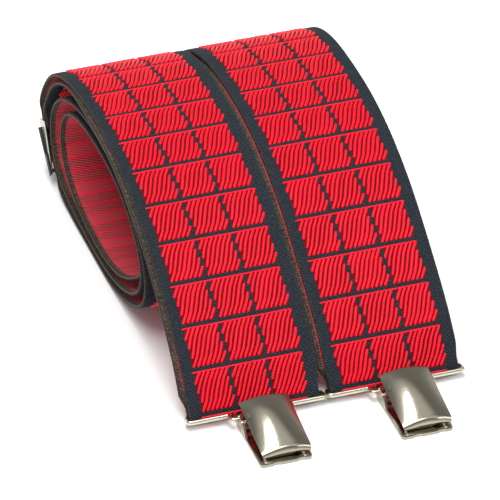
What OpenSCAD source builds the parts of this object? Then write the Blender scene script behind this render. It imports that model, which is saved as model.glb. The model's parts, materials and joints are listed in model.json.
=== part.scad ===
// A pair of Y-back clip suspenders lying coiled into a roll.
//
// Millimetres, +Z up. The roll stands on z = 0 with its axis along X, and the two front
// clips lie flat in front of it, towards -Y. The origin is on the ground, in the middle
// of the whole object.
//
// The two front straps lie side by side and follow one spiral route in the YZ plane:
// from the clip up over the outside of the roll, then inwards turn by turn. Each strap
// folds round the wire loop of its clip and comes back inside its outer turn as far as
// the length adjuster. In the middle of the roll both straps meet in a leather patch,
// and one rear strap leaves it for the third clip.

/* [Webbing] */
// Width of every strap
strap_w = 50; // [45:1:52]
// Thickness of the webbing
strap_t = 1.8; // [1.2:0.1:1.8]
// Distance between the centre lines of the two front straps
strap_pitch = 51.4; // [51.4:0.2:56]
// How much a strap narrows inside a wire loop or an adjuster, on each side
squeeze = 0.8; // [0.6:0.1:1]
// Distance along a front strap from its wire to the adjuster
adjuster_place = 219; // [217:1:221]

/* [Wire loops] */
// Diameter of the loop wire
wire_d = 1.8; // [1.4:0.1:1.8]
// Gap between the back bar's and the front bar's centre lines
wire_depth = 3.95; // [3.9:0.05:4.2]
// Reach of the middle of the loop, where the clip hangs
wire_reach = 7.8; // [7.6:0.1:8.4]
// Width of the middle of the loop
wire_jog = 23; // [22.4:0.2:26]
// Slope of a front loop above the ground
wire_slope = 8; // [4:1:10]

/* [Clips] */
// Width of the clip's base
clip_w = 19.2; // [18:0.2:20]
// Thickness of the clip's sheet metal
metal_t = 0.8; // [0.6:0.1:0.9]
// Length of the clip's base plate
base_l = 27.4; // [26:0.2:30]
// Width of the clip's cover
cover_w = 18.4; // [17:0.2:19]
// Height of the cover's crown above its side edges
cover_crown = 1.5; // [1:0.1:2]
// Diameter of the hinge pin
pin_d = 1.2; // [1:0.1:1.3]

/* [Adjusters] */
// Length of the lever plate along the strap
lever_l = 19; // [17:0.5:19]
// Diameter of the adjuster's bars
bar_d = 1.6; // [1.4:0.1:1.6]

/* [Leather patch] */
// Width of the two leather panels
patch_w = 64; // [62:1:68]
// Length of the two leather panels
patch_l = 54; // [40:1:56]
// Thickness of one panel
leather_t = 1.2; // [1:0.1:1.3]

/* [Hidden] */
$fn = 48;

webbing_red = "crimson";
webbing_navy = "darkslateblue";
leather_brown = "saddlebrown";
nickel = "silver";
thread_navy = "midnightblue";

left = -1;
right = 1;
half_t = strap_t / 2;
half_w = strap_w / 2;
wire_r = wire_d / 2;
bar_r = bar_d / 2;
pin_r = pin_d / 2;

// Running gaps
wire_play = 0.1;
pin_play = 0.05;
side_play = 0.1;

// Route of the front straps as [y, z], from the wire inwards: control points of a
// smooth B-spline. The four blocks are the four turns of the roll.
ROUTE = [
    [-73, 4], [-67, 12], [-60, 20], [-50, 28.5], [-38, 37.5], [-24, 47], [-9, 54],
    [8, 59.5], [26, 62], [44, 62], [61, 61], [76, 57], [89, 50], [98, 40], [104.5, 30],
    [105, 21], [97, 13.5], [89, 6.5], [79, 2], [66, 0.9], [52, 0.9], [36, 0.9],

    [20, 0.9], [5, 4], [-8, 9], [-20, 16], [-24, 26], [-22, 35], [-16, 43], [-5, 50],
    [8, 55], [23, 57.5], [39, 57.5], [54, 55.5], [69, 51], [81, 44], [90, 34], [92, 21],
    [86, 11], [75, 6], [60, 4], [44, 3.5],

    [28, 3.5], [14, 5.5], [2, 9], [-10, 15], [-18, 23], [-19, 33], [-13, 41], [-3, 47.5],
    [11, 52], [27, 53], [43, 52.5], [58, 50], [70, 45], [78, 36], [79, 24], [72, 15],
    [60, 10], [46, 8], [32, 7.5],

    [18, 9], [5, 13], [-6, 19], [-13, 26], [-14, 34], [-8, 40], [2, 45.5], [14, 49],
    [29, 50], [44, 49.5], [57, 46], [67, 40], [71, 31], [69, 21], [61, 16], [48, 13],
    [34, 12], [20, 13], [7, 16.5],
];

// Route of the rear strap, from the leather patch round the middle of the roll
REAR_ROUTE = [
    [54, 19.2], [44, 17.5], [34, 16.7], [22, 17.2], [11, 19.5], [1, 24.5], [-4, 31],
    [-1, 37], [7, 41], [17, 43], [28, 43.5], [40, 43], [49, 39.5], [53, 34.5], [50, 29.5],
    [44, 28.5], [37, 28.5],
];

// Stations worked out per control point, and on each half circle round a wire or bar
route_steps = 3;
fold_steps = 8;

// The two front ends stand a little apart, over this length of strap
splay = 0.5;
splay_l = 60;
// The strap widens again over this length outside a loop or an adjuster
narrow_l = 3;
widen_l = 6;
// The inner ends close in on the middle line before the patch
converge = 20;
converge_start = 205;
converge_l = 110;
// and the right strap steps one layer inwards there
layer = 2.2;
step_start = 212;
step_l = 24;

// Fold round a wire: centre line radius
fold_r = wire_r + wire_play + half_t;
// Wrap round the adjuster's upper bar
wrap_r = bar_r + wire_play + half_t;
bar_depth = 3.8;
tail_l = 12;
// The returning layer opens up from this place along the strap
open_start = 142;
// Rear strap: length of the stitched tail
rear_tail_l = 14;

// ---- Vectors and curves ----

function unit(v) = v / norm(v);
function left_of(v) = [-v.y, v.x];
function heading(v) = atan2(v.y, v.x);
function ease(x, a, b) = let (t = min(1, max(0, (x - a) / (b - a)))) t * t * (3 - 2 * t);

function spline_point(a, b, c, d, t) =
    (pow(1 - t, 3) * a + (3 * pow(t, 3) - 6 * t * t + 4) * b
     + (-3 * pow(t, 3) + 3 * t * t + 3 * t + 1) * c + pow(t, 3) * d) / 6;

// Uniform cubic B-spline that starts and ends on its first and last control points
function spline(p, steps) =
    let (n = len(p), q = concat([2 * p[0] - p[1]], p, [2 * p[n - 1] - p[n - 2]]))
    concat([for (i = [0 : n - 2], k = [0 : steps - 1])
            spline_point(q[i], q[i + 1], q[i + 2], q[i + 3], k / steps)], [p[n - 1]]);

function running_length(c) =
    [for (i = 0, s = 0; i < len(c);
          i = i + 1, s = s + (i < len(c) ? norm(c[i] - c[i - 1]) : 0)) s];
function tangent(c, i) = unit(c[min(i + 1, len(c) - 1)] - c[max(i - 1, 0)]);

// A line is a list of stations [point, direction, distance along it]
function line(c) =
    let (s = running_length(c)) [for (i = [0 : len(c) - 1]) [c[i], tangent(c, i), s[i]]];
function line_length(l) = l[len(l) - 1][2];
function station_at(l, s) =
    let (i = max([for (k = [0 : len(l) - 2]) if (l[k][2] <= s) k]),
         t = (s - l[i][2]) / (l[i + 1][2] - l[i][2]))
    [l[i][0] + t * (l[i + 1][0] - l[i][0]), unit(l[i][1] + t * (l[i + 1][1] - l[i][1])), s];

main_line = line(spline(ROUTE, route_steps));
main_l = line_length(main_line);
rear_line = line(spline(REAR_ROUTE, route_steps));
rear_l = line_length(rear_line);

// ---- Places on the route ----

// Centre of the wire inside a fold: strap ends with its face on the outside
front_start = main_line[0];
front_wire = front_start[0] - fold_r * left_of(front_start[1]);
rear_end = rear_line[len(rear_line) - 1];
rear_wire = rear_end[0] - fold_r * left_of(rear_end[1]);

adj = station_at(main_line, adjuster_place);
adj_out = left_of(adj[1]);
adj_bar = adj[0] - bar_depth * adj_out;
adj_far = station_at(main_line, adjuster_place + lever_l)[0];
adj_dir = unit(adj_far - adj[0]);
adj_up = left_of(adj_dir);

// Half circle of stations, clockwise, round centre c, starting on the side 'from'
function half_turn(c, r, from) =
    let (side = [from.y, -from.x])
    [for (k = [0 : fold_steps]) let (a = 180 * k / fold_steps)
        [c + r * (cos(a) * from + sin(a) * side), cos(a) * side - sin(a) * from]];

// ---- Webbing ----

// Distance of the returning layer inside the outer turn, at distance s from the wire
function return_gap(s) =
    2 * fold_r - (2 * fold_r - layer) * ease(s, 0, 20)
    + (bar_depth + wrap_r - layer) * ease(s, open_start, adjuster_place);

function main_squeeze(s) =
    1 - ease(s, narrow_l, narrow_l + widen_l)
    + ease(s, adjuster_place - 10, adjuster_place - 4)
    * (1 - ease(s, adjuster_place + lever_l + 2, adjuster_place + lever_l + 8));
function return_squeeze(s) =
    1 - ease(s, narrow_l, narrow_l + widen_l)
    + ease(s, adjuster_place - 12, adjuster_place - 6);

function front_x(side, s) = side * (strap_pitch / 2 + splay * (1 - ease(s, 0, splay_l)));
function inner_x(side, s) =
    front_x(side, s)
    - side * converge * ease(s, main_l - converge_start, main_l - converge_start + converge_l);
function inner_step(side, s) =
    side == left ? 0 : layer * ease(s, main_l - step_start, main_l - step_start + step_l);

// A section of strap is [centre [y, z], face direction, middle x, half width]
function tail_sections(side) =
    [for (st = main_line) if (st[2] > adjuster_place - tail_l && st[2] < adjuster_place - 2)
        [st[0] - (bar_depth - wrap_r) * left_of(st[1]), left_of(st[1]),
         front_x(side, st[2]), half_w - squeeze]];
function wrap_sections(side) =
    [for (h = half_turn(adj_bar, wrap_r, adj_out))
        [h[0], left_of(h[1]), front_x(side, adjuster_place), half_w - squeeze]];
function return_sections(side) =
    let (n = len(main_line))
    [for (i = [n - 1 : -1 : 1]) let (st = main_line[i], s = st[2])
        if (s < adjuster_place - 2)
        [st[0] - return_gap(s) * left_of(st[1]), -left_of(st[1]),
         front_x(side, s), half_w - squeeze * return_squeeze(s)]];
function fold_sections(side) =
    [for (h = half_turn(front_wire, fold_r, -left_of(front_start[1])))
        [h[0], left_of(h[1]), front_x(side, 0), half_w - squeeze]];
function main_sections(side) =
    [for (i = [1 : len(main_line) - 1]) let (st = main_line[i], s = st[2])
        [st[0] - inner_step(side, s) * left_of(st[1]), left_of(st[1]),
         inner_x(side, s), half_w - squeeze * main_squeeze(s)]];

function front_sections(side) =
    concat(tail_sections(side), wrap_sections(side), return_sections(side),
           fold_sections(side), main_sections(side));

function rear_squeeze(s) = ease(s, rear_l - narrow_l - widen_l, rear_l - narrow_l);
function rear_gap(s) = 2 * fold_r - (2 * fold_r - layer) * ease(rear_l - s, 0, rear_tail_l);
function rear_sections() =
    let (n = len(rear_line))
    concat(
        [for (i = [0 : n - 2]) let (st = rear_line[i])
            [st[0], left_of(st[1]), 0, half_w - squeeze * rear_squeeze(st[2])]],
        [for (h = half_turn(rear_wire, fold_r, left_of(rear_end[1])))
            [h[0], left_of(h[1]), 0, half_w - squeeze]],
        [for (i = [n - 2 : -1 : 0]) let (st = rear_line[i])
            if (st[2] > rear_l - rear_tail_l)
            [st[0] - rear_gap(st[2]) * left_of(st[1]), -left_of(st[1]), 0,
             half_w - squeeze * rear_squeeze(st[2])]]);

// Sweeps a flat strap through its sections
module webbing(sections) {
    n = len(sections);
    points = [for (s = sections, k = [0 : 3])
        let (p = s[0] + (k < 2 ? half_t : -half_t) * s[1],
             x = s[2] + (k == 0 || k == 3 ? -s[3] : s[3]))
        [x, p.x, p.y]];
    sides = [for (i = [0 : n - 2], k = [0 : 3])
        let (a = 4 * i + k, b = 4 * i + (k + 1) % 4)
        each [[a, b, a + 4], [b, b + 4, a + 4]]];
    ends = [[3, 2, 1], [3, 1, 0], [4 * n - 4, 4 * n - 3, 4 * n - 2],
            [4 * n - 4, 4 * n - 2, 4 * n - 1]];
    polyhedron(points = points, faces = concat(sides, ends));
}

module left_strap() {
    color(webbing_red) webbing(front_sections(left));
}

module right_strap() {
    color(webbing_red) webbing(front_sections(right));
}

module rear_strap() {
    color(webbing_navy) webbing(rear_sections());
}

// ---- Leather patch ----

patch_gap = 0.1;
patch_margin = 2;
rear_layer = 4.6;
patch_out = half_t + patch_gap;
patch_in = rear_layer + half_t + 0.3;

function patch_stations() =
    [for (st = main_line) if (st[2] > main_l - patch_l && st[2] < main_l - patch_margin) st];

// A panel that follows the route, between two distances from its centre line
module panel(low, high) {
    st = patch_stations();
    outline = concat([for (s = st) s[0] + low * left_of(s[1])],
                     [for (i = [len(st) - 1 : -1 : 0]) st[i][0] + high * left_of(st[i][1])]);
    rotate([90, 0, 90]) translate([0, 0, -patch_w / 2])
        linear_extrude(patch_w) polygon(outline);
}

module patch_outer() {
    color(leather_brown) panel(patch_out, patch_out + leather_t);
}

module patch_inner() {
    color(leather_brown) panel(-patch_in - leather_t, -patch_in);
}

// ---- Stitching ----

stitch_l = 2.6;
stitch_w = 0.5;
stitch_h = 0.3;
stitch_pitch = 4;

// A row of stitches along X, lying on a surface at 'p' that faces 'out'
module stitch_row(p, out, width) {
    count = floor(width / stitch_pitch);
    for (i = [0 : count - 1])
        translate([(i - (count - 1) / 2) * stitch_pitch, p.x, p.y])
            rotate([heading(out) - 90, 0, 0])
                translate([-stitch_l / 2, -stitch_w / 2, 0.02])
                    cube([stitch_l, stitch_w, stitch_h]);
}

module patch_stitches() {
    st = patch_stations();
    n = len(st);
    color(thread_navy)
        for (i = [1, 2, n - 3, n - 2])
            let (out = -left_of(st[i][1]))
            stitch_row(st[i][0] + (patch_in + leather_t) * out, out, patch_w - 8);
}

module strap_stitches() {
    color(thread_navy) {
        for (side = [left, right], back = [5, 9]) {
            st = station_at(main_line, adjuster_place - back);
            out = -left_of(st[1]);
            translate([front_x(side, st[2]), 0, 0])
                stitch_row(st[0] + (return_gap(st[2]) + half_t + 0.05) * out, out, 44);
        }
        for (back = [8, 11]) {
            st = station_at(rear_line, rear_l - back);
            out = -left_of(st[1]);
            stitch_row(st[0] + (rear_gap(st[2]) + half_t + 0.05) * out, out, 44);
        }
    }
}

// ---- Wire loops ----

loop_half = half_w - squeeze + side_play + wire_r;
loop_bend = 1;
jog_half = wire_jog / 2;
// The middle of the loop stands a little off centre
jog_shift = 0.9;

// Closed loop of round rod through flat corner points, with rounded bends
module rod_loop(corners, rod_r, bend) {
    n = len(corners);
    // Length that each rounded corner takes off its straights
    cut = [for (i = [0 : n - 1])
        let (a = unit(corners[i] - corners[(i + n - 1) % n]),
             b = unit(corners[(i + 1) % n] - corners[i]))
        bend * tan(acos(a * b) / 2)];
    for (i = [0 : n - 1]) {
        p = corners[i];
        q = corners[(i + 1) % n];
        d = unit(q - p);
        e = unit(corners[(i + 2) % n] - q);
        turn = d.x * e.y - d.y * e.x > 0 ? 1 : -1;
        angle = acos(d * e);
        translate([p.x, p.y, 0] + cut[i] * [d.x, d.y, 0])
            rotate([0, 90, heading(d)])
                cylinder(r = rod_r, h = norm(q - p) - cut[i] - cut[(i + 1) % n]);
        centre = q - cut[(i + 1) % n] * d + turn * bend * left_of(d);
        translate([centre.x, centre.y, 0])
            rotate([0, 0, turn > 0 ? heading(d) - 90 : heading(d) + 90 - angle])
                rotate_extrude(angle = angle)
                    translate([bend, 0]) circle(r = rod_r);
    }
}

// Corners from the back bar round to the middle of the loop, towards -Y
module wire_loop() {
    corners = [
        [-loop_half, 0], [-loop_half, -wire_depth],
        [jog_shift - jog_half, -wire_depth], [jog_shift - jog_half, -wire_reach],
        [jog_shift + jog_half, -wire_reach], [jog_shift + jog_half, -wire_depth],
        [loop_half, -wire_depth], [loop_half, 0],
    ];
    color(nickel) rotate([-wire_slope, 0, 0]) rod_loop(corners, wire_r, loop_bend);
}

// ---- Clips ----
//
// A clip is drawn round the centre of the back bar of its loop, with its front
// towards -Y. Its base lies on the ground below that bar.

floor_z = -front_wire.y;
base_rear = -5.6;
jog = wire_reach * [-cos(wire_slope), sin(wire_slope)];
pin = [-11.5, 1.75];
ear_r = 1.15;
hook_r = wire_r + 0.85;
tab_x = 7.4;
base_corner = 1.4;
base_t = 1;
slot_x = 7.2;
slot_w = 1;
slot_l = 2.4;
cover_shift = 1;
cover_rear = [-3.9, 5.15];
cover_slope = 10.7;
cover_l = 27;
cover_t = 0.7;
lip_t = 0.8;
lip_gap = 0.3;
crown_r = (pow(cover_w / 2, 2) + pow(cover_crown, 2)) / (2 * cover_crown);
spring_r = 1.5;
spring_wire_r = 0.3;
spring_w = 9;
// The clip hangs in the middle of the loop, a little towards +X
clip_offset = jog_shift + 0.4;

// Extrudes a [y, z] outline along X, from x0 for a width w
module along_x(x0, w) {
    translate([x0, 0, 0]) rotate([90, 0, 90]) linear_extrude(w) children();
}

module ear_outline() {
    difference() {
        union() {
            translate(jog) circle(hook_r);
            translate(pin) circle(ear_r);
            polygon([
                [base_rear, floor_z], [jog.x + hook_r, jog.y], [jog.x + 0.9, jog.y + 1.5],
                [pin.x + 0.2, pin.y + ear_r - 0.02], [pin.x - 0.8, pin.y + 0.8],
                [pin.x - 4.5, floor_z + base_t], [pin.x - 4.5, floor_z],
            ]);
        }
        translate(jog) circle(wire_r + pin_play);
        translate(pin) circle(pin_r + pin_play);
    }
}

// Base plate seen from above: rounded front corners and two shallow dips in its front
module base_outline() {
    front = base_rear - base_l;
    difference() {
        union() {
            translate([-clip_w / 2, front + base_corner])
                square([clip_w, base_l - base_corner]);
            translate([-clip_w / 2 + base_corner, front])
                square([clip_w - 2 * base_corner, base_corner]);
            for (x = [-1, 1])
                translate([x * (clip_w / 2 - base_corner), front + base_corner])
                    circle(base_corner);
        }
        for (x = [-3.6, 5.4])
            translate([x, front - 3.6]) circle(4);
        for (x = [-slot_x, slot_x])
            translate([x - slot_w / 2, front + 1]) square([slot_w, slot_l]);
    }
}

module clip_base() {
    color(nickel) {
        translate([0, 0, floor_z]) linear_extrude(base_t) base_outline();
        along_x(-clip_w / 2, metal_t) ear_outline();
        along_x(clip_w / 2 - metal_t, metal_t) ear_outline();
    }
}

// Cover's section across its width: an arched strip with its edges at height 0
module cover_section(thickness) {
    intersection() {
        translate([0, cover_crown - crown_r]) difference() {
            circle(crown_r, $fn = 96);
            circle(crown_r - thickness, $fn = 96);
        }
        translate([-cover_w / 2, -thickness - 1]) square([cover_w, 6]);
    }
}

// The lip closes the space below the arch at the front
module lip_section(drop) {
    intersection() {
        translate([0, cover_crown - crown_r]) circle(crown_r, $fn = 96);
        translate([-cover_w / 2, -drop]) square([cover_w, drop + 4]);
    }
}

module cover_tab() {
    difference() {
        union() {
            translate(pin) circle(ear_r);
            translate([pin.x - ear_r, pin.y]) square([2 * ear_r, 2]);
        }
        translate(pin) circle(pin_r + pin_play);
    }
}

module clip_cover() {
    front_drop = cover_rear.y - cover_l * sin(cover_slope) - floor_z - base_t - lip_gap;
    color(nickel) {
        translate([cover_shift, cover_rear.x, cover_rear.y]) rotate([cover_slope, 0, 0]) {
            rotate([90, 0, 0]) linear_extrude(cover_l) cover_section(cover_t);
            translate([0, lip_t - cover_l, 0]) rotate([90, 0, 0])
                linear_extrude(lip_t) lip_section(front_drop);
        }
        along_x(-tab_x, metal_t) cover_tab();
        along_x(tab_x - metal_t, metal_t) cover_tab();
    }
}

module clip_pin() {
    head = 0.4;
    color(nickel) translate([0, pin.x, pin.y]) rotate([0, 90, 0]) {
        translate([0, 0, -clip_w / 2 - head]) cylinder(r = pin_r, h = clip_w + 2 * head);
        for (z = [-clip_w / 2 - head, clip_w / 2])
            translate([0, 0, z]) cylinder(r = pin_r + 0.4, h = head);
    }
}

// Coil round the pin with one leg down to the base and one up to the cover, both rearwards
module clip_spring() {
    leg = 4.2;
    color(nickel) translate([0, pin.x, pin.y]) {
        rotate([0, 90, 0]) difference() {
            translate([0, 0, -spring_w / 2]) cylinder(r = spring_r, h = spring_w);
            translate([0, 0, -spring_w / 2 - 1])
                cylinder(r = pin_r + 2 * pin_play, h = spring_w + 2);
        }
        for (end = [[-1, 28], [1, -34]])
            translate([end[0] * (spring_w / 2 - spring_wire_r), 0, 0]) rotate([end[1], 0, 0])
                translate([0, pin_r + 0.4, 0]) rotate([-90, 0, 0])
                    cylinder(r = spring_wire_r, h = leg);
    }
}

// Moves a piece of a clip to one of the three strap ends
module at_front(side) {
    translate([front_x(side, 0), front_wire.x, front_wire.y]) children();
}

module at_front_clip(side) {
    translate([clip_offset, 0, 0]) at_front(side) children();
}

module at_rear() {
    translate([0, rear_wire.x, rear_wire.y]) rotate([0, 180, 0]) children();
}

module at_rear_clip() {
    at_rear() translate([clip_offset, 0, 0]) children();
}

module left_wire_loop() {
    at_front(left) wire_loop();
}

module right_wire_loop() {
    at_front(right) wire_loop();
}

module rear_wire_loop() {
    at_rear() wire_loop();
}

module left_clip_base() {
    at_front_clip(left) clip_base();
}

module right_clip_base() {
    at_front_clip(right) clip_base();
}

module rear_clip_base() {
    at_rear_clip() clip_base();
}

module left_clip_cover() {
    at_front_clip(left) clip_cover();
}

module right_clip_cover() {
    at_front_clip(right) clip_cover();
}

module rear_clip_cover() {
    at_rear_clip() clip_cover();
}

module left_clip_pin() {
    at_front_clip(left) clip_pin();
}

module right_clip_pin() {
    at_front_clip(right) clip_pin();
}

module rear_clip_pin() {
    at_rear_clip() clip_pin();
}

module left_clip_spring() {
    at_front_clip(left) clip_spring();
}

module right_clip_spring() {
    at_front_clip(right) clip_spring();
}

module rear_clip_spring() {
    at_rear_clip() clip_spring();
}

// ---- Adjusters ----
//
// An adjuster is drawn with its origin on the strap's centre line, +Y along the strap
// towards the roll's inside and +Z out of the strap's face.

rail_r = 1.3;
rail_t = 0.5;
rail_in = half_w - squeeze + side_play;
bar_at = [(adj_bar - adj[0]) * adj_dir, (adj_bar - adj[0]) * adj_up];
hinge_at = [lever_l - 1.6, 2.9];
lever_t = 1;
lever_z = hinge_at.y + 0.4;
barrel_r = 1.5;
barrel_w = 46;
tooth_x = 4.5;
// The lever's plate reaches over the rails as far as here, and its flanges beside them
wide_l = 14;
flange_in = rail_in + rail_t + 0.1;
flange_t = 0.5;
flange_l = 8;
flange_h = 2.6;
nose_at = [-1.5, 0.8];
nose_r = 1.2;

// Side rail: from the upper bar and a nose above it down to the hinge, below the lever
module rail_outline() {
    low = rail_r * left_of(unit(bar_at - hinge_at));
    translate(bar_at) circle(rail_r);
    translate(hinge_at) circle(rail_r);
    translate(nose_at) circle(nose_r);
    polygon([
        bar_at + low, hinge_at + low, hinge_at + [0, rail_r], [wide_l, lever_z - 0.2],
        nose_at + [0, nose_r], nose_at - [nose_r, 0], bar_at - [rail_r, 0],
    ]);
}

module adjuster_frame() {
    color(nickel) {
        for (x = [-rail_in - rail_t, rail_in])
            along_x(x, rail_t) rail_outline();
        for (p = [bar_at, hinge_at])
            translate([-rail_in - rail_t / 2, p.x, p.y]) rotate([0, 90, 0])
                cylinder(r = bar_r, h = 2 * rail_in + rail_t);
    }
}

// Plate over the strap, with a barrel round the lower bar and teeth beside it
module adjuster_lever() {
    color("dimgray") {
        difference() {
            union() {
                translate([-barrel_w / 2, 0, lever_z]) cube([barrel_w, lever_l, lever_t]);
                translate([-flange_in - flange_t, 0, lever_z])
                    cube([2 * (flange_in + flange_t), wide_l, lever_t]);
                for (x = [-flange_in - flange_t, flange_in])
                    translate([x, lever_l - flange_l, lever_z + lever_t - flange_h])
                        cube([flange_t, flange_l, flange_h]);
                translate([-barrel_w / 2, hinge_at.x, hinge_at.y]) rotate([0, 90, 0])
                    cylinder(r = barrel_r, h = barrel_w);
            }
            translate([-barrel_w / 2 - 1, hinge_at.x, hinge_at.y]) rotate([0, 90, 0])
                cylinder(r = bar_r + pin_play, h = barrel_w + 2);
        }
        for (k = [-4 : 4])
            translate([k * tooth_x - 0.8, hinge_at.x - 3.4, hinge_at.y - 1.1])
                cube([1.6, 1.2, 1.6]);
    }
}

module at_adjuster(side) {
    translate([front_x(side, adjuster_place), adj[0].x, adj[0].y])
        rotate([heading(adj_dir), 0, 0]) children();
}

module left_adjuster_frame() {
    at_adjuster(left) adjuster_frame();
}

module right_adjuster_frame() {
    at_adjuster(right) adjuster_frame();
}

module left_adjuster_lever() {
    at_adjuster(left) adjuster_lever();
}

module right_adjuster_lever() {
    at_adjuster(right) adjuster_lever();
}

left_strap();
right_strap();
rear_strap();
patch_outer();
patch_inner();
patch_stitches();
strap_stitches();
left_adjuster_frame();
right_adjuster_frame();
left_adjuster_lever();
right_adjuster_lever();
left_wire_loop();
right_wire_loop();
rear_wire_loop();
left_clip_base();
right_clip_base();
rear_clip_base();
left_clip_cover();
right_clip_cover();
rear_clip_cover();
left_clip_pin();
right_clip_pin();
rear_clip_pin();
left_clip_spring();
right_clip_spring();
rear_clip_spring();
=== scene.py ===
"""Rolled clip suspenders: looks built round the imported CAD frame."""

import json
import math

import bmesh
import bpy
import numpy as np
from mathutils import Matrix, Vector


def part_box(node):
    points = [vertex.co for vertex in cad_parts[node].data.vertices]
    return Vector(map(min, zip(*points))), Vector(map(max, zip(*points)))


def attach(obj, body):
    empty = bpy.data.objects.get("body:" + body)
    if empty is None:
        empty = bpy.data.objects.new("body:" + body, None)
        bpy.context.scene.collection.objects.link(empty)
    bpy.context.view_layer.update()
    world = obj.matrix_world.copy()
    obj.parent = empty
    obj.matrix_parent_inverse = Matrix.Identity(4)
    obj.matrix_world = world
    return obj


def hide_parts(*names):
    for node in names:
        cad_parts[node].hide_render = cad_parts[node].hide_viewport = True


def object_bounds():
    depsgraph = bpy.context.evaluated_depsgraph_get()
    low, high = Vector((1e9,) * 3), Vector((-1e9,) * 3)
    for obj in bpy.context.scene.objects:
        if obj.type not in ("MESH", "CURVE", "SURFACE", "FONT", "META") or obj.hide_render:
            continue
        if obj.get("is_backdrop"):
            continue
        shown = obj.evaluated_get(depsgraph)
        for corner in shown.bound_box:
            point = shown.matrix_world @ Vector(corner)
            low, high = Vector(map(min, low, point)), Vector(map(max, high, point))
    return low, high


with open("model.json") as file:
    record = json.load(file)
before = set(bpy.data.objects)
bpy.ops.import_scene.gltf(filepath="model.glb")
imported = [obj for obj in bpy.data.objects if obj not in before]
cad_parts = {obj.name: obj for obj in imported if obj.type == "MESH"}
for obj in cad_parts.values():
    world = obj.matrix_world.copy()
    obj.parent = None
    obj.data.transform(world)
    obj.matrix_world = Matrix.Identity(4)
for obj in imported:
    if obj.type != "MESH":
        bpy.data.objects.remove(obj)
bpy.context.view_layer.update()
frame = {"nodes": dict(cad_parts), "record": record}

MM = 0.001
LEFT, RIGHT = -1, 1
rng = np.random.default_rng(7)

# ---- Sizes of the CAD part, in millimetres ----

STRAP_W = 50.0
HALF_T = 0.9               # half the thickness of the webbing
PITCH = 51.4               # between the centre lines of the two front straps
SQUEEZE = 0.8              # how much a strap narrows in a loop or an adjuster, each side
ADJUSTER = 219.0           # distance along a front strap from its wire to the adjuster
LEVER_L = 19.0
WIRE_R = 0.9
BAR_R = 0.8
PLAY = 0.1
SPLAY, SPLAY_L = 0.5, 60.0     # the two front ends stand apart by this, over this length
CONVERGE, CONVERGE_START, CONVERGE_L = 20.0, 205.0, 110.0   # they close in on the patch
LAYER = 2.2                # from one layer of webbing to the next
STEP_START, STEP_L = 212.0, 24.0    # where the right strap steps one layer inwards
FOLD_R = WIRE_R + PLAY + HALF_T     # centre line radius of the fold round a wire
WRAP_R = BAR_R + PLAY + HALF_T      # centre line radius of the wrap round a bar
BAR_DEPTH = 3.8            # from the outer turn to the adjuster's upper bar
TAIL_L = 12.0
OPEN_START = 142.0         # where the returning layer starts to leave the outer one
REAR_TAIL = 14.0
CLIP_OFFSET = 1.3          # a clip hangs a little towards +X on its loop

# Route of the front straps as (y, z), from the wire inwards, one block per turn
ROUTE = [
    (-73, 4), (-67, 12), (-60, 20), (-50, 28.5), (-38, 37.5), (-24, 47), (-9, 54),
    (8, 59.5), (26, 62), (44, 62), (61, 61), (76, 57), (89, 50), (98, 40), (104.5, 30),
    (105, 21), (97, 13.5), (89, 6.5), (79, 2), (66, 0.9), (52, 0.9), (36, 0.9),

    (20, 0.9), (5, 4), (-8, 9), (-20, 16), (-24, 26), (-22, 35), (-16, 43), (-5, 50),
    (8, 55), (23, 57.5), (39, 57.5), (54, 55.5), (69, 51), (81, 44), (90, 34), (92, 21),
    (86, 11), (75, 6), (60, 4), (44, 3.5),

    (28, 3.5), (14, 5.5), (2, 9), (-10, 15), (-18, 23), (-19, 33), (-13, 41), (-3, 47.5),
    (11, 52), (27, 53), (43, 52.5), (58, 50), (70, 45), (78, 36), (79, 24), (72, 15),
    (60, 10), (46, 8), (32, 7.5),

    (18, 9), (5, 13), (-6, 19), (-13, 26), (-14, 34), (-8, 40), (2, 45.5), (14, 49),
    (29, 50), (44, 49.5), (57, 46), (67, 40), (71, 31), (69, 21), (61, 16), (48, 13),
    (34, 12), (20, 13), (7, 16.5),
]

# Route of the rear strap, from the patch round the middle of the roll
REAR_ROUTE = [
    (54, 19.2), (44, 17.5), (34, 16.7), (22, 17.2), (11, 19.5), (1, 24.5), (-4, 31),
    (-1, 37), (7, 41), (17, 43), (28, 43.5), (40, 43), (49, 39.5), (53, 34.5), (50, 29.5),
    (44, 28.5), (37, 28.5),
]

# ---- The weave, in millimetres ----

BORDER = 4.3          # plain border beside the cells
CELL = 13.8           # width of a cell; three cells side by side
ROW = 16.0            # height of a row of cells with its dark line
LINE = 1.5            # height of the dark line between rows
CORD_PITCH = 1.725    # cords per width of a cell: eight
CORD_RISE = 3.4       # rise of a cord over one pitch
CORD_R = 0.54         # half width of a cord
CORD_H = 0.58         # height of a cord
CORD_SWAY = 0.42      # how far a cord sways to either side of its straight line
PHASE = 1.6           # distance from the wire's side of the strap to its first dark line
GROUND = HALF_T - CORD_H   # height of the ground weave above the middle of the strap

# ---- Camera, before anything else is made ----


def camera(azimuth, elevation, distance, right, up, lens):
    a, e = math.radians(azimuth), math.radians(elevation)
    back = Vector((math.sin(a) * math.cos(e), -math.cos(a) * math.cos(e), math.sin(e)))
    side = Vector((math.cos(a), math.sin(a), 0))
    top = back.cross(side)
    data = bpy.data.cameras.new("camera")
    data.lens = lens
    data.sensor_width = 36
    data.clip_start, data.clip_end = 0.1, 20
    cam = bpy.data.objects.new("camera", data)
    place = (back * distance + side * right + top * up) * MM
    turn = Matrix((side, top, back)).transposed().to_4x4()
    cam.matrix_world = Matrix.Translation(place) @ turn
    bpy.context.scene.collection.objects.link(cam)
    bpy.context.scene.camera = cam


camera(-18.7, 34.1, 2310, -3.1, 14.6, 457.7)

# ---- Node helpers ----


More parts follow.
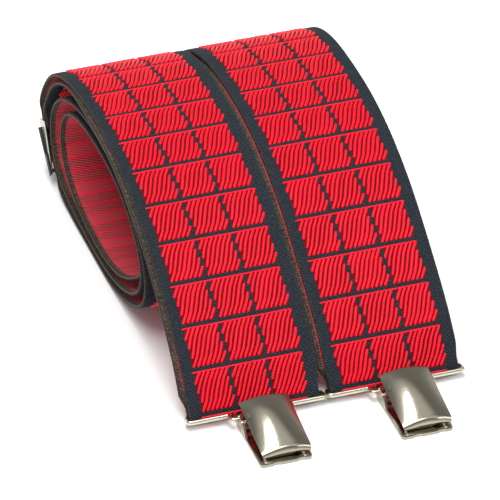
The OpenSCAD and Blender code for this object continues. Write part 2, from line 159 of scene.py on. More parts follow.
class Nodes:
    """A small builder for one material's node tree."""

    def __init__(self, name):
        self.material = bpy.data.materials.new(name)
        self.material.use_nodes = True
        self.tree = self.material.node_tree
        self.shader = self.tree.nodes["Principled BSDF"]

    def add(self, kind, **values):
        n = self.tree.nodes.new(kind)
        for key, value in values.items():
            if hasattr(n, key):
                setattr(n, key, value)
            else:
                n.inputs[key.replace("_", " ")].default_value = value
        return n

    def link(self, a, b):
        self.tree.links.new(a, b)

    def math(self, operation, a, b=None, c=None):
        n = self.tree.nodes.new("ShaderNodeMath")
        n.operation = operation
        for i, v in enumerate((a, b, c)):
            if v is None:
                continue
            if isinstance(v, (int, float)):
                n.inputs[i].default_value = v
            else:
                self.link(v, n.inputs[i])
        return n.outputs[0]

    def mix(self, factor, a, b):
        n = self.tree.nodes.new("ShaderNodeMix")
        n.data_type = "RGBA"
        for socket, v in ((n.inputs["Factor"], factor), (n.inputs["A"], a), (n.inputs["B"], b)):
            if isinstance(v, (int, float)):
                socket.default_value = v
            elif isinstance(v, tuple):
                socket.default_value = (*v, 1)
            else:
                self.link(v, socket)
        return n.outputs["Result"]

    def step(self, value, edge, soft=0.05):
        """0 below the edge and 1 above it, over a soft width."""
        n = self.tree.nodes.new("ShaderNodeMapRange")
        n.interpolation_type = "SMOOTHSTEP"
        self.link(value, n.inputs["Value"])
        n.inputs["From Min"].default_value = edge - soft
        n.inputs["From Max"].default_value = edge + soft
        return n.outputs["Result"]

    def uv(self, name="weave"):
        n = self.add("ShaderNodeUVMap", uv_map=name)
        s = self.tree.nodes.new("ShaderNodeSeparateXYZ")
        self.link(n.outputs[0], s.inputs[0])
        return s.outputs[0], s.outputs[1]

    def noise(self, scale, detail=4, vector=None, roughness=0.6):
        n = self.add("ShaderNodeTexNoise", Scale=scale, Detail=detail, Roughness=roughness)
        if vector is None:
            c = self.tree.nodes.new("ShaderNodeTexCoord")
            vector = c.outputs["Object"]
        self.link(vector, n.inputs["Vector"])
        return n.outputs["Fac"]

    def bump(self, height, strength, distance):
        n = self.add("ShaderNodeBump", Strength=strength, Distance=distance)
        self.link(height, n.inputs["Height"])
        self.link(n.outputs[0], self.shader.inputs["Normal"])

    def set(self, **values):
        for key, value in values.items():
            socket = self.shader.inputs[key.replace("_", " ")]
            if isinstance(value, tuple):
                socket.default_value = (*value, 1)
            elif isinstance(value, (int, float)):
                socket.default_value = value
            else:
                self.link(value, socket)


# ---- Materials ----

NAVY = (0.006, 0.009, 0.013)
NAVY_LIGHT = (0.036, 0.045, 0.056)
RED = (0.88, 0.003, 0.024)
RED_DARK = (0.50, 0.001, 0.008)
# Red ground between the cords, darkened as painted shade in the grooves
SHADED_GROOVE_RED = (0.12, 0.001, 0.004)
OLIVE = (0.115, 0.100, 0.068)


def cord_material():
    m = Nodes("red cords")
    along, cord = m.uv()
    # The yarn wave lightens and darkens each cord's red along its twist as painted highlights and
    # shade; the noise adds random tone, and the bump also uses the wave
    yarn = m.math("SINE", m.math("MULTIPLY", m.math("ADD", along, cord), 2 * math.pi / 1.05))
    shade = m.math("MULTIPLY_ADD", yarn, 0.16, m.noise(650, 3))
    m.set(Base_Color=m.mix(m.step(shade, 0.42, 0.32), RED_DARK, RED),
          Roughness=0.5, Specular_IOR_Level=0.22)
    m.bump(m.math("MULTIPLY_ADD", yarn, 0.25, m.noise(2600, 4)), 0.35, 0.0002)
    return m.material


def cell_mask(m, across, along):
    """1 inside the cells of the weave, 0 on the border, the dark lines and the gaps."""
    inside = m.math("SUBTRACT", across, BORDER)
    sides = m.math("MULTIPLY", m.step(inside, 0.5, 0.2),
                   m.math("SUBTRACT", 1.0, m.step(inside, 3 * CELL - 0.5, 0.2)))
    gap = m.step(m.math("ABSOLUTE", m.math("SUBTRACT", m.math(
        "MODULO", m.math("ADD", inside, 4.5 * CELL), CELL), CELL / 2)), 0.75, 0.15)
    phase = m.math("MODULO", m.math("ADD", along, 100 * ROW), ROW)
    rows = m.math("MULTIPLY", m.step(phase, LINE / 2 + 0.25, 0.12),
                  m.math("SUBTRACT", 1.0, m.step(phase, ROW - LINE / 2, 0.12)))
    return m.math("MULTIPLY", m.math("MULTIPLY", sides, gap), rows)


def twill(m, across, along, lean, pitch, wander=1.5):
    """A wave across the strap that leans and wanders like a woven twill line."""
    grain = m.noise(900, 3)
    line = m.math("MULTIPLY", m.math("MULTIPLY_ADD", across, lean, along), 2 * math.pi / pitch)
    return m.math("SINE", m.math("MULTIPLY_ADD", grain, wander, line))


def face_material():
    m = Nodes("face of the webbing")
    across, along = m.uv()
    grain = m.noise(1500, 3)
    ribs = twill(m, across, along, 0.7, 0.95, 5.0)
    shade = m.math("MULTIPLY_ADD", ribs, 0.28, grain)
    navy = m.mix(m.step(shade, 0.62, 0.32), NAVY, NAVY_LIGHT)
    edge_in = m.math("SUBTRACT", STRAP_W / 2, m.math(
        "ABSOLUTE", m.math("SUBTRACT", across, STRAP_W / 2)))
    rim = m.math("SUBTRACT", 1.0, m.step(edge_in, 0.5, 0.1))
    navy = m.mix(rim, navy, m.mix(m.step(grain, 0.5, 0.15), (0.03, 0.032, 0.03), OLIVE))
    # Inside the cells the ground takes the groove red, darkened as painted shade between the
    # cords
    m.set(Base_Color=m.mix(cell_mask(m, across, along), navy, SHADED_GROOVE_RED),
          Roughness=0.8, Specular_IOR_Level=0.15)
    m.bump(m.math("MULTIPLY_ADD", ribs, 0.5, grain), 0.7, 0.0003)
    return m.material


def reverse_material():
    m = Nodes("reverse of the webbing")
    across, along = m.uv()
    stripes = twill(m, across, along, -0.36, 1.05, 1.2)
    cross = m.math("SINE", m.math("MULTIPLY", across, 2 * math.pi / 1.15))
    phase = m.math("MODULO", m.math("ADD", along, 100 * ROW), ROW / 3)
    line = m.math("SUBTRACT", 1.0, m.step(m.math("ABSOLUTE", m.math(
        "SUBTRACT", phase, ROW / 6)), 0.42, 0.22))
    block = m.step(m.math("MODULO", m.math("ADD", along, 100 * ROW - ROW / 6), ROW),
                   ROW / 3, 0.6)
    dark = m.math("MULTIPLY", m.step(m.math("MULTIPLY_ADD", cross, 0.30, stripes), 0.0, 0.6),
                  m.math("MULTIPLY_ADD", block, 0.40, 0.42))
    weave = m.mix(dark, (0.62, 0.050, 0.070), (0.070, 0.030, 0.030))
    red = m.mix(line, weave, (0.80, 0.012, 0.042))
    edge_in = m.math("SUBTRACT", STRAP_W / 2, m.math(
        "ABSOLUTE", m.math("SUBTRACT", across, STRAP_W / 2)))
    grain = m.noise(1100, 3)
    selvedge = m.mix(m.step(grain, 0.52, 0.16), (0.018, 0.016, 0.014), (0.085, 0.070, 0.048))
    m.set(Base_Color=m.mix(m.step(edge_in, 1.9, 0.3), selvedge, red),
          Roughness=0.8, Sheen_Weight=0.05, Specular_IOR_Level=0.2)
    m.bump(m.math("ADD", m.math("MULTIPLY", stripes, 0.5), m.math(
        "MULTIPLY", line, 1.2)), 0.6, 0.00025)
    return m.material


def edge_material():
    m = Nodes("edge of the webbing")
    height, along = m.uv("edge")
    grain = m.noise(1300, 4)
    yarn = m.math("SINE", m.math("MULTIPLY", along, 2 * math.pi / 0.9))
    line = m.math("SUBTRACT", 1.0, m.step(m.math("ABSOLUTE", m.math(
        "ADD", height, 0.40)), 0.20, 0.10))
    low = m.math("SUBTRACT", 1.0, m.step(height, -0.72, 0.06))
    dark = m.mix(m.step(grain, 0.5, 0.2), (0.008, 0.010, 0.014), (0.045, 0.040, 0.036))
    thread = m.mix(m.math("MULTIPLY_ADD", yarn, 0.25, grain), (0.035, 0.028, 0.020),
                   (0.16, 0.135, 0.092))
    brown = m.mix(grain, (0.015, 0.010, 0.009), (0.07, 0.035, 0.028))
    m.set(Base_Color=m.mix(low, m.mix(line, dark, thread), brown),
          Roughness=0.85, Specular_IOR_Level=0.2)
    m.bump(m.math("MULTIPLY_ADD", yarn, 0.4, grain), 0.7, 0.0003)
    return m.material


def nickel_material(name, colour, roughness):
    m = Nodes(name)
    wear = m.noise(180, 5)
    scratch = m.noise(2200, 2)
    m.set(Base_Color=m.mix(wear, tuple(0.9 * c for c in colour), tuple(1.08 * c for c in colour)),
          Metallic=1.0,
          Roughness=m.math("MULTIPLY_ADD", scratch, 0.08, roughness))
    m.bump(m.noise(260, 2), 0.05, 0.0002)
    return m.material


def lever_material():
    m = Nodes("black lever paint")
    wear = m.noise(400, 5)
    m.set(Base_Color=m.mix(m.step(wear, 0.66, 0.08), (0.006, 0.006, 0.007), (0.05, 0.047, 0.044)),
          Specular_IOR_Level=0.25, Roughness=m.math("MULTIPLY_ADD", wear, 0.2, 0.35))
    m.bump(m.noise(900, 3), 0.12, 0.0002)
    return m.material


def leather_material():
    m = Nodes("brown leather")
    c = m.tree.nodes.new("ShaderNodeTexCoord")
    pores = m.add("ShaderNodeTexVoronoi", Scale=1400.0)
    m.link(c.outputs["Object"], pores.inputs["Vector"])
    tone = m.noise(120, 5)
    m.set(Base_Color=m.mix(tone, (0.022, 0.012, 0.008), (0.07, 0.036, 0.02)),
          Specular_IOR_Level=0.2, Roughness=m.math("MULTIPLY_ADD", tone, 0.2, 0.55))
    m.bump(m.math("MULTIPLY_ADD", pores.outputs["Distance"], 0.6, tone), 0.5, 0.0002)
    return m.material


def thread_material():
    m = Nodes("stitching thread")
    c = m.tree.nodes.new("ShaderNodeTexCoord")
    twist = m.add("ShaderNodeTexWave", Scale=2600.0, Distortion=1.5)
    m.link(c.outputs["Object"], twist.inputs["Vector"])
    m.set(Base_Color=m.mix(twist.outputs["Fac"], (0.02, 0.025, 0.035), (0.09, 0.1, 0.12)),
          Roughness=0.6)
    m.bump(twist.outputs["Fac"], 0.5, 0.0001)
    return m.material


face, reverse, edge = face_material(), reverse_material(), edge_material()
cords = cord_material()
nickel = nickel_material("polished nickel", (0.36, 0.335, 0.265), 0.11)
wire_metal = nickel_material("bright wire", (0.62, 0.58, 0.46), 0.16)
steel = nickel_material("bright spring steel", (0.55, 0.48, 0.33), 0.25)
black = lever_material()
leather = leather_material()
thread = thread_material()

# ---- Frame helpers ----

BODY = {n: b for b, nodes in frame["record"]["behaviour"]["bodies"].items() for n in nodes}


def mesh_object(name, points, faces, materials=(), indices=None, smooth=True):
    mesh = bpy.data.meshes.new(name)
    mesh.from_pydata(np.asarray(points, float).tolist(), [], faces)
    for m in materials:
        mesh.materials.append(m)
    if indices is not None:
        mesh.polygons.foreach_set("material_index", np.asarray(indices, np.int32))
    mesh.polygons.foreach_set("use_smooth", np.full(len(mesh.polygons), smooth))
    mesh.update()
    obj = bpy.data.objects.new(name, mesh)
    bpy.context.scene.collection.objects.link(obj)
    return obj


def settle(obj, node):
    """Puts a finished piece on the body of a CAD node and hides that node, in whose place it
    stands.
    """
    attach(obj, BODY[node])
    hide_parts(node)
    return obj


def set_uv(obj, name, values):
    """Stores one (u, v) pair per vertex as a UV map."""
    layer = obj.data.uv_layers.new(name=name)
    loops = np.empty(len(obj.data.loops), np.int32)
    obj.data.loops.foreach_get("vertex_index", loops)
    layer.data.foreach_set("uv", np.asarray(values, np.float32)[loops].ravel())


# ---- Strap lines ----


def ease(x, a, b):
    t = np.clip((np.asarray(x, float) - a) / (b - a), 0, 1)
    return t * t * (3 - 2 * t)


def spline(points, steps):
    """Uniform cubic B-spline that starts and ends on its first and last control points."""
    p = np.array(points, float)
    q = np.vstack([2 * p[0] - p[1], p, 2 * p[-1] - p[-2]])
    t = np.arange(steps)[:, None] / steps
    basis = np.hstack([(1 - t) ** 3, 3 * t**3 - 6 * t**2 + 4,
                       -3 * t**3 + 3 * t**2 + 3 * t + 1, t**3]) / 6
    return np.vstack([basis @ q[i:i + 4] for i in range(len(p) - 1)] + [p[-1:]])


def running_length(c):
    return np.r_[0, np.cumsum(np.linalg.norm(np.diff(c, axis=0), axis=1))]


def normals(c):
    d = np.gradient(c, axis=0)
    d /= np.linalg.norm(d, axis=1)[:, None]
    return np.stack([-d[:, 1], d[:, 0]], 1)


def half_turn(centre, radius, start, steps=14):
    """Clockwise half circle from the side 'start' of its centre."""
    a = np.linspace(0, np.pi, steps + 1)[:, None]
    side = np.array([start[1], -start[0]])
    out = np.cos(a) * start + np.sin(a) * side
    return centre + radius * out, out


STEPS = 6                           # stations per stretch of a route
RETURN_SHOWS = {LEFT: 0.95, RIGHT: 1.5}     # how far the returning layer stands out
TRIM = 0.6                          # how much narrower the outer layer's left margin is
RETURN_STARTS = (3, 9)              # both grow over this stretch from the wire
RETURN_ENDS = (130, 175)            # and end over this one
FOLD_EDGE = (3, 9)                  # a strap widens over this stretch from its wire
main_c = spline(ROUTE, STEPS)
main_s = running_length(main_c)
main_n = normals(main_c)
MAIN_L = main_s[-1]


def at(s):
    c = np.array([np.interp(s, main_s, main_c[:, k]) for k in (0, 1)])
    n = np.array([np.interp(s, main_s, main_n[:, k]) for k in (0, 1)])
    return c, n / np.linalg.norm(n)


class Strap:
    """Stations of one strap: middle point and face direction in YZ, middle x, half
    width, how much its left margin is trimmed, and distance along it from the wire."""

    def __init__(self, parts, zero):
        self.c = np.vstack([p[0] for p in parts])
        self.n = np.vstack([p[1] for p in parts])
        self.x = np.concatenate([p[2] for p in parts])
        self.w = np.concatenate([p[3] for p in parts])
        self.trim = np.concatenate([p[4] if len(p) > 4 else 0 * p[3] for p in parts])
        s = running_length(self.c)
        first = sum(len(p[0]) for p in parts[:zero])
        self.v = s - s[first] + PHASE

    def points(self, u, v, h):
        """Places in space of strap coordinates: across from 0 to 50, along, and height."""
        def pick(values):
            return np.interp(v, self.v, values)

        n = np.stack([pick(self.n[:, 0]), pick(self.n[:, 1])], -1)
        n /= np.linalg.norm(n, axis=-1, keepdims=True)
        x = pick(self.x) + (u / STRAP_W - 0.5) * 2 * pick(self.w)
        y = pick(self.c[:, 0]) + h * n[..., 0]
        z = pick(self.c[:, 1]) + h * n[..., 1]
        return np.stack([x, y, z], -1) * MM


def front_strap(side):
    half = STRAP_W / 2

    def front_x(s):
        return side * (PITCH / 2 + SPLAY * (1 - ease(s, 0, SPLAY_L)))

    keep = (main_s > ADJUSTER - TAIL_L) & (main_s < ADJUSTER - 2)
    tail = (main_c[keep] - (BAR_DEPTH - WRAP_R) * main_n[keep], main_n[keep],
            front_x(main_s[keep]), np.full(keep.sum(), half - SQUEEZE))
    adj_c, adj_n = at(ADJUSTER)
    c, n = half_turn(adj_c - BAR_DEPTH * adj_n, WRAP_R, adj_n)
    wrap = (c, n, np.full(len(c), front_x(ADJUSTER)), np.full(len(c), half - SQUEEZE))
    back = np.nonzero((main_s > 0) & (main_s < ADJUSTER - 2))[0][::-1]
    s = main_s[back]
    gap = (2 * FOLD_R - (2 * FOLD_R - LAYER) * ease(s, 0, 20)
           + (BAR_DEPTH + WRAP_R - LAYER) * ease(s, OPEN_START, ADJUSTER))
    tight = 1 - ease(s, *FOLD_EDGE) + ease(s, ADJUSTER - 12, ADJUSTER - 6)
    # The returning layer shows to the left of the outer one along the front slope
    shown = RETURN_SHOWS[side] * ease(s, *RETURN_STARTS) * (1 - ease(s, *RETURN_ENDS))
    turned = (main_c[back] - gap[:, None] * main_n[back], -main_n[back],
              front_x(s) - shown, half - SQUEEZE * tight)
    wire = main_c[0] - FOLD_R * main_n[0]
    c, n = half_turn(wire, FOLD_R, -main_n[0])
    fold = (c, n, np.full(len(c), front_x(0)), np.full(len(c), half - SQUEEZE))
    s = main_s[1:]
    inward = (0 if side == LEFT
              else LAYER * ease(s, MAIN_L - STEP_START, MAIN_L - STEP_START + STEP_L))
    tight = (1 - ease(s, *FOLD_EDGE) + ease(s, ADJUSTER - 10, ADJUSTER - 4)
             * (1 - ease(s, ADJUSTER + LEVER_L + 2, ADJUSTER + LEVER_L + 8)))
    x = front_x(s) - side * CONVERGE * ease(
        s, MAIN_L - CONVERGE_START, MAIN_L - CONVERGE_START + CONVERGE_L)
    if side == LEFT:
        x = x + SPLAY * ease(s, 3, 14) * (1 - ease(s, 0, SPLAY_L))
    trim = TRIM * ease(s, 3, 14) * (1 - ease(s, *RETURN_ENDS))
    main = (main_c[1:] - np.reshape(inward, (-1, 1)) * main_n[1:], main_n[1:], x,
            half - SQUEEZE * tight, trim)
    return Strap([tail, wrap, turned, fold, main], 4)


def rear_strap():
    half = STRAP_W / 2
    c = spline(REAR_ROUTE, STEPS)
    s = running_length(c)
    n = normals(c)
    length = s[-1]
    tight = ease(s, length - 9, length - 3)
    main = (c[:-1], n[:-1], np.zeros(len(c) - 1), half - SQUEEZE * tight[:-1])
    fc, fn = half_turn(c[-1] - FOLD_R * n[-1], FOLD_R, n[-1])
    fold = (fc, fn, np.zeros(len(fc)), np.full(len(fc), half - SQUEEZE))
    back = np.nonzero(s[:-1] > length - REAR_TAIL)[0][::-1]
    gap = 2 * FOLD_R - (2 * FOLD_R - LAYER) * ease(length - s[back], 0, REAR_TAIL)
    tail = (c[back] - gap[:, None] * n[back], -n[back], np.zeros(len(back)),
            half - SQUEEZE * tight[back])
    return Strap([main, fold, tail], 1)


# ---- Webbing ----

# Half of the cross-section, from the middle of the face round the edge to the middle
# of the reverse: (distance in from the edge, height)
RIM = [(0.5, GROUND + 0.12), (0.22, GROUND + 0.05), (0.06, GROUND - 0.15), (0.0, -0.1),
       (0.0, -0.45), (0.06, -0.68), (0.22, -0.83), (0.5, -HALF_T)]
RAISED = 0.16          # how far the plain border stands above the ground of the cells
BORDER_IN, CELLS_IN = BORDER - 0.3, BORDER + 0.3    # the border slopes down between these
FACE_KIND, EDGE_KIND, REVERSE_KIND = 0, 1, 2        # places in the webbing's materials


def webbing(name, strap, node):
    profile = ([(CELLS_IN, GROUND), (BORDER_IN, GROUND + RAISED)] + RIM
               + [(STRAP_W - d, h) for d, h in reversed(RIM)]
               + [(STRAP_W - BORDER_IN, GROUND + RAISED), (STRAP_W - CELLS_IN, GROUND)])
    u = np.array([p[0] for p in profile])
    h = np.array([p[1] for p in profile])
    n, k = len(strap.v), len(profile)
    uu, vv = np.meshgrid(u, strap.v)
    uu = uu + strap.trim[:, None] * (uu < BORDER - 1)
    points = strap.points(uu, vv, np.broadcast_to(h, (n, k))).reshape(-1, 3)
    ring = [EDGE_KIND] * k
    for j in (0, 1, k - 3, k - 2, k - 1):
        ring[j] = FACE_KIND
    ring[1 + len(RIM)] = REVERSE_KIND
    faces = [(i * k + j, i * k + (j + 1) % k, (i + 1) * k + (j + 1) % k, (i + 1) * k + j)
             for i in range(n - 1) for j in range(k)]
    faces.append(tuple(range(k - 1, -1, -1)))
    faces.append(tuple((n - 1) * k + j for j in range(k)))
    kinds = ring * (n - 1) + [EDGE_KIND, EDGE_KIND]
    obj = mesh_object(name, points, faces, (face, edge, reverse), kinds)
    set_uv(obj, "weave", np.stack([uu.ravel(), vv.ravel()], 1))
    set_uv(obj, "edge", np.stack([np.broadcast_to(h, (n, k)).ravel(), vv.ravel()], 1))
    fix_normals(obj)
    return settle(obj, node)


def fix_normals(obj):
    b = bmesh.new()
    b.from_mesh(obj.data)
    bmesh.ops.recalc_face_normals(b, faces=b.faces)
    b.to_mesh(obj.data)
    b.free()


# Rings of a cord: distance from its end and how full it is there
ENDS = [(0.0, 0.12), (0.14, 0.6), (0.4, 0.88), (0.8, 1.0)]
MIDDLE = [0.25, 0.5, 0.75]
ARC = np.radians([-90, -50, 0, 50, 90])


def cord_lines(v_low, v_high):
    """One line per cord, in strap coordinates: where its straight line meets the foot of
    its row, its lowest and highest v, and the foot."""
    slope = CORD_PITCH / CORD_RISE
    lines = []
    for row in range(math.floor(v_low / ROW), math.ceil(v_high / ROW)):
        foot, head = row * ROW + LINE / 2 + 0.15, (row + 1) * ROW - LINE / 2
        if foot < v_low or head > v_high:
            continue
        for cell in range(3):
            edge_u = BORDER + cell * CELL
            for k in range(-5, 9):
                base = edge_u + CORD_PITCH * (k + 0.5)
                low = max(foot, foot + (edge_u + 0.75 - base) / slope)
                high = min(head, foot + (edge_u + CELL - 0.5 - base) / slope)
                if high - low > (2.4 if low > foot else 0.9):
                    lines.append((base, low, high, foot))
    return np.array(lines)


def cord_path(lines, t):
    """Points (u, v) of each cord at a share t of its height, with its slight sway."""
    base, low, high, foot = (lines[:, k:k + 1] for k in range(4))
    v = low + t * (high - low)
    sway = CORD_SWAY * np.sin(2 * np.pi * (v - foot) / (ROW - LINE))
    return base + (v - foot) * CORD_PITCH / CORD_RISE + sway, v


def woven_cords(name, strap, v_low, v_high, body):
    """The raised red cords of every cell, each an arched strip with tapered ends."""
    lines = cord_lines(v_low, v_high)
    height = lines[:, 2] - lines[:, 1]
    length = height * math.hypot(1, CORD_PITCH / CORD_RISE)
    shrink = np.minimum(1, length / 1.9)
    rings = [(e * shrink / length, f) for e, f in ENDS]
    rings += [(np.full(len(lines), m), 1.0) for m in MIDDLE]
    rings += [(1 - e * shrink / length, f) for e, f in reversed(ENDS)]
    t = np.stack([r[0] for r in rings], 1)
    full = np.array([r[1] for r in rings])
    u, v = cord_path(lines, t)
    u2, v2 = cord_path(lines, t + 1e-3)
    du, dv = u2 - u, v2 - v
    size = np.hypot(du, dv)
    across = np.stack([dv / size, -du / size], -1)
    count, k, a = len(lines), len(rings), len(ARC)
    wide = CORD_R * full[None, :, None] * np.sin(ARC)
    wide = wide * (1 + 0.06 * rng.standard_normal((count, 1, 1)))
    high = CORD_H * np.sqrt(full)[None, :, None] * np.cos(ARC)
    high = high * (1 + 0.05 * rng.standard_normal((count, 1, 1))).clip(0.9, 1.06)
    uu = u[..., None] + across[..., 0:1] * wide
    vv = v[..., None] + across[..., 1:2] * wide
    points = strap.points(uu, vv, GROUND - 0.06 + high).reshape(-1, 3)
    base = (np.arange(count) * k * a)[:, None, None]
    i, j = np.meshgrid(np.arange(k - 1), np.arange(a - 1), indexing="ij")
    q = base + (i * a + j)[None]
    quads = np.stack([q, q + a, q + a + 1, q + 1], -1).reshape(-1, 4)
    obj = mesh_object(name, points, quads.tolist(), (cords,))
    along = np.broadcast_to((t * length[:, None])[..., None], uu.shape).ravel()
    kind = np.broadcast_to(np.arange(count)[:, None, None] % 97, uu.shape).ravel()
    set_uv(obj, "weave", np.stack([along, kind], 1))
    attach(obj, body)
    return obj


def row_threads(name, strap, v_low, v_high, body):
    """The thin red thread that closes the top of each row of cells."""
    k, a = 46, 5
    arc = np.radians([-90, -45, 0, 45, 90])
    points, uv, faces = [], [], []
    u = np.linspace(BORDER - 0.35, BORDER + 3 * CELL - 0.2, k)
    for row in range(math.floor(v_low / ROW), math.ceil(v_high / ROW)):
        head = (row + 1) * ROW - LINE / 2 - 0.1
        if head - ROW + LINE < v_low or head > v_high:
            continue
        start = len(points) * k * a
        fade = np.sqrt(np.clip(np.minimum(u - u[0], u[-1] - u) / 0.5, 0.05, 1))
        uu = np.broadcast_to(u[:, None], (k, a))
        vv = head + 0.34 * fade[:, None] * np.sin(arc)
        hh = GROUND - 0.05 + 0.42 * fade[:, None] * np.cos(arc)
        points.append(strap.points(uu, vv, hh).reshape(-1, 3))
        uv.append(np.stack([uu.ravel(), np.zeros(k * a)], 1))
        for i in range(k - 1):
            for j in range(a - 1):
                q = start + i * a + j
                faces.append((q, q + 1, q + a + 1, q + a))
    obj = mesh_object(name, np.vstack(points), faces, (cords,))
    set_uv(obj, "weave", np.vstack(uv))
    fix_normals(obj)
    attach(obj, body)
    return obj


for name, strap, node, slot in (
        ("left_webbing", front_strap(LEFT), "left_strap", "front_webbing"),
        ("right_webbing", front_strap(RIGHT), "right_strap", "front_webbing"),
        ("rear_webbing", rear_strap(), "rear_strap", "rear_webbing")):
    webbing(name, strap, node)
    low, high = strap.v[0] + 3, strap.v[-1] - 1
    woven_cords(name + "_cords", strap, low, high, BODY[node])
    row_threads(name + "_row_threads", strap, low, high, BODY[node])

# ---- Refined copies of CAD pieces ----


def refined(node, material, bevel, segments=3):
    """A copy of a CAD node with welded faces and softly rounded edges."""
    source = frame["nodes"][node]
    mesh = source.data.copy()
    b = bmesh.new()
    b.from_mesh(mesh)
    bmesh.ops.remove_doubles(b, verts=b.verts, dist=2e-6)
    bmesh.ops.dissolve_limit(b, angle_limit=math.radians(1), verts=b.verts, edges=b.edges)
    b.to_mesh(mesh)
    b.free()
    mesh.materials.clear()
    mesh.materials.append(material)
    mesh.polygons.foreach_set("use_smooth", np.full(len(mesh.polygons), True))
    obj = bpy.data.objects.new(node + "_finished", mesh)
    bpy.context.scene.collection.objects.link(obj)
    obj.matrix_world = source.matrix_world
    soft = obj.modifiers.new("rounded edges", "BEVEL")
    soft.width = bevel * MM
    soft.segments = segments
    soft.limit_method = "ANGLE"
    soft.angle_limit = math.radians(35)
    soft.harden_normals = True
    return settle(obj, node)


def repaint(node, material):
    """Gives a CAD node a material and keeps its shape."""
    obj = frame["nodes"][node]
    obj.data.materials.clear()
    obj.data.materials.append(material)


# ---- Clip covers ----
#
# A cover is drawn round the back bar of its wire loop, with its front towards -Y.

COVER_W, COVER_L, COVER_T = 18.4, 27.0, 0.7
COVER_REAR = (-3.9, 5.15)
COVER_SLOPE = math.radians(10.7)
COVER_SHIFT = 1.0
REAR_CROWN, FRONT_CROWN = 1.8, 1.2
SWELL = 0.9            # how much the middle of the cover swells along its length
LIP_R = 2.4            # radius of the rolled front lip
LIP_LOW = -1.6         # bottom of the lip below the cover's side edges
NOTCH_X, NOTCH_W, NOTCH_H = 3.8, 1.5, 0.8
PIN = (-11.5, 1.75)
EAR_R = 1.15
TAB_X, TAB_T = 7.4, 0.8


def cover_height(x, t):
    """Height of the outer surface above the cover's side edges."""
    half = COVER_W / 2
    crown = REAR_CROWN + (FRONT_CROWN - REAR_CROWN) * ease(t, 4, COVER_L)
    bow = 1 - (x / half) ** 2
    swell = SWELL * (1 - ((2 * t - COVER_L) / COVER_L) ** 2)
    return bow * (crown + swell)


def cover_shell():
    """Points and faces of the cover's outer surface, in millimetres."""
    across = np.sin(np.linspace(-np.pi / 2, np.pi / 2, 37) * 0.93) / math.sin(0.93 * math.pi / 2)
    flat = COVER_L - LIP_R
    rows = []
    for t in np.linspace(0, flat, 34):
        x = across * COVER_W / 2
        rows.append(np.stack([x, -t + 0 * x, cover_height(x, t)], 1))
    edge_x = across * COVER_W / 2
    top = cover_height(edge_x, flat)
    notch = NOTCH_H * np.exp(-((edge_x - NOTCH_X) / NOTCH_W) ** 2)
    low = LIP_LOW + notch
    for a in np.radians(np.linspace(8, 90, 12)):
        x = edge_x * (1 - 0.055 * (1 - math.cos(a)))
        y = -flat - LIP_R * math.sin(a)
        z = low + (top - low) * (1 - (1 - math.cos(a)) ** 1.15)
        rows.append(np.stack([x, y + 0 * x, z], 1))
    n, k = len(rows), len(across)
    faces = [(i * k + j, i * k + j + 1, (i + 1) * k + j + 1, (i + 1) * k + j)
             for i in range(n - 1) for j in range(k - 1)]
    points = np.vstack(rows)
    c, s = math.cos(COVER_SLOPE), math.sin(COVER_SLOPE)
    y = c * points[:, 1] - s * points[:, 2]
    z = s * points[:, 1] + c * points[:, 2]
    return np.stack([points[:, 0] + COVER_SHIFT, y + COVER_REAR[0], z + COVER_REAR[1]], 1), faces


def tab(x):
    """A small lug that hangs from the cover and goes round the hinge pin."""
    outline = [(PIN[0] + EAR_R * math.cos(a), PIN[1] + EAR_R * math.sin(a))
               for a in np.linspace(math.pi, 2 * math.pi, 17)]
    outline += [(PIN[0] + EAR_R, PIN[1] + 3.2), (PIN[0] - EAR_R, PIN[1] + 2.8)]
    k = len(outline)
    points = [(x + d, y, z) for d in (0, TAB_T) for y, z in outline]
    faces = [tuple(range(k)), tuple(range(2 * k - 1, k - 1, -1))]
    faces += [(i, k + i, k + (i + 1) % k, (i + 1) % k) for i in range(k)]
    return np.array(points), faces


def place_clip(points, where):
    """Millimetre points round the wire into the frame, at one of the three clips."""
    x0, y0, z0 = where["x"], where["y"], where["z"]
    turn = -1 if where["turned"] else 1
    p = np.asarray(points, float) + (CLIP_OFFSET, 0, 0)
    return np.stack([x0 + turn * p[:, 0], y0 + p[:, 1], z0 + turn * p[:, 2]], 1) * MM


def clip_cover(place, where):
    node = place + "_clip_cover"
    points, faces = cover_shell()
    shell = mesh_object(node + "_shell", place_clip(points, where), faces, (nickel,))
    fix_normals(shell)
    if shell.data.polygons[0].normal.z * (-1 if where["turned"] else 1) < 0:
        shell.data.flip_normals()
    thick = shell.modifiers.new("sheet", "SOLIDIFY")
    thick.thickness = COVER_T * MM
    thick.offset = -1
    rim = shell.modifiers.new("rim", "BEVEL")
    rim.width = 0.14 * MM
    rim.segments = 3
    rim.limit_method = "ANGLE"
    rim.angle_limit = math.radians(50)
    settle(shell, node)
    parts = [tab(-TAB_X), tab(TAB_X - TAB_T)]
    k = len(parts[0][0])
    points = np.vstack([q[0] for q in parts])
    faces = parts[0][1] + [tuple(i + k for i in f) for f in parts[1][1]]
    tabs = mesh_object(node + "_tabs", place_clip(points, where), faces, (nickel,), smooth=False)
    fix_normals(tabs)
    settle(tabs, node)


def loop_place(place):
    """Centre of a loop's back bar, from the box of its wire."""
    low, high = (np.array(v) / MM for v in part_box(place + "_wire_loop"))
    turned = place == "rear"
    z = high[2] - WIRE_R if turned else low[2] + WIRE_R
    return {"x": (low[0] + high[0]) / 2, "y": high[1] - WIRE_R, "z": z, "turned": turned}


for place in ("left", "right", "rear"):
    repaint(place + "_wire_loop", wire_metal)
    repaint(place + "_clip_pin", steel)
    repaint(place + "_clip_spring", steel)
    clip_cover(place, loop_place(place))
    refined(place + "_clip_base", nickel, 0.18)
for place in ("left", "right"):
    refined(place + "_adjuster_frame", nickel, 0.15)
    refined(place + "_adjuster_lever", black, 0.15)
for node in ("patch_outer", "patch_inner"):
    refined(node, leather, 0.35)
for node in ("patch_stitches", "strap_stitches"):
    refined(node, thread, 0.1, 2)

# ---- Stage ----

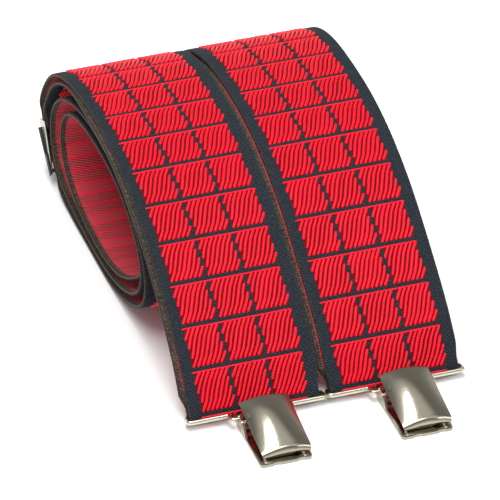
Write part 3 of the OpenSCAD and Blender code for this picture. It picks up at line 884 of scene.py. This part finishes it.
# Brightness of the studio by height: a bright horizon, a dark band and a bright ceiling.
# The ramp's own two stops come first.
SKY = [(0.0, 1.0), (1.0, 1.0), (0.3, 0.85), (0.5, 0.4), (0.78, 0.28), (0.87, 0.95)]
SKY_STRENGTH = 1.0
FLOOR_GAP = 0.0001     # keeps the floor just below the webbing, in metres


def stage():
    size = 6.0
    floor = mesh_object("floor", [(-size, -size, 0), (size, -size, 0), (size, size, 0),
                                  (-size, size, 0)], [(0, 1, 2, 3)])
    m = Nodes("pale floor")
    tone = m.noise(3, 2)
    m.set(Base_Color=m.mix(tone, (0.93, 0.93, 0.93), (0.96, 0.96, 0.96)), Roughness=0.7,
          Specular_IOR_Level=0.1)
    floor.data.materials.append(m.material)
    floor.location.z = -FLOOR_GAP
    floor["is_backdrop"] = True
    world = bpy.data.worlds.new("studio")
    bpy.context.scene.world = world
    world.use_nodes = True
    tree = world.node_tree
    coord = tree.nodes.new("ShaderNodeTexCoord")
    split = tree.nodes.new("ShaderNodeSeparateXYZ")
    tree.links.new(coord.outputs["Generated"], split.inputs[0])
    ramp = tree.nodes.new("ShaderNodeValToRGB")
    tree.links.new(split.outputs[2], ramp.inputs[0])
    stops = list(ramp.color_ramp.elements)
    stops += [ramp.color_ramp.elements.new(height) for height, level in SKY[2:]]
    for spot, (height, level) in zip(stops, SKY):
        spot.position = height
        spot.color = (level, level, level, 1)
    background = tree.nodes["Background"]
    tree.links.new(ramp.outputs[0], background.inputs["Color"])
    background.inputs["Strength"].default_value = SKY_STRENGTH


def area_light(name, place, target, size, power, colour=(1, 1, 1)):
    data = bpy.data.lights.new(name, "AREA")
    data.shape = "RECTANGLE"
    data.size, data.size_y = size
    data.energy = power
    data.color = colour
    light = bpy.data.objects.new(name, data)
    light.location = place
    direction = Vector(target) - Vector(place)
    light.rotation_mode = "QUATERNION"
    light.rotation_quaternion = direction.to_track_quat("-Z", "Y")
    bpy.context.scene.collection.objects.link(light)


stage()
area_light("key", (-0.25, -0.35, 1.5), (0, 0, 0.02), (1.1, 1.1), 22)
area_light("fill", (0.9, -0.6, 0.9), (0, 0, 0.02), (0.6, 0.6), 3)
area_light("glint", (-0.08, 0.38, 1.3), (0, -0.08, 0.02), (0.35, 0.22), 4)
bpy.context.scene.view_settings.view_transform = "Standard"

low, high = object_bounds()
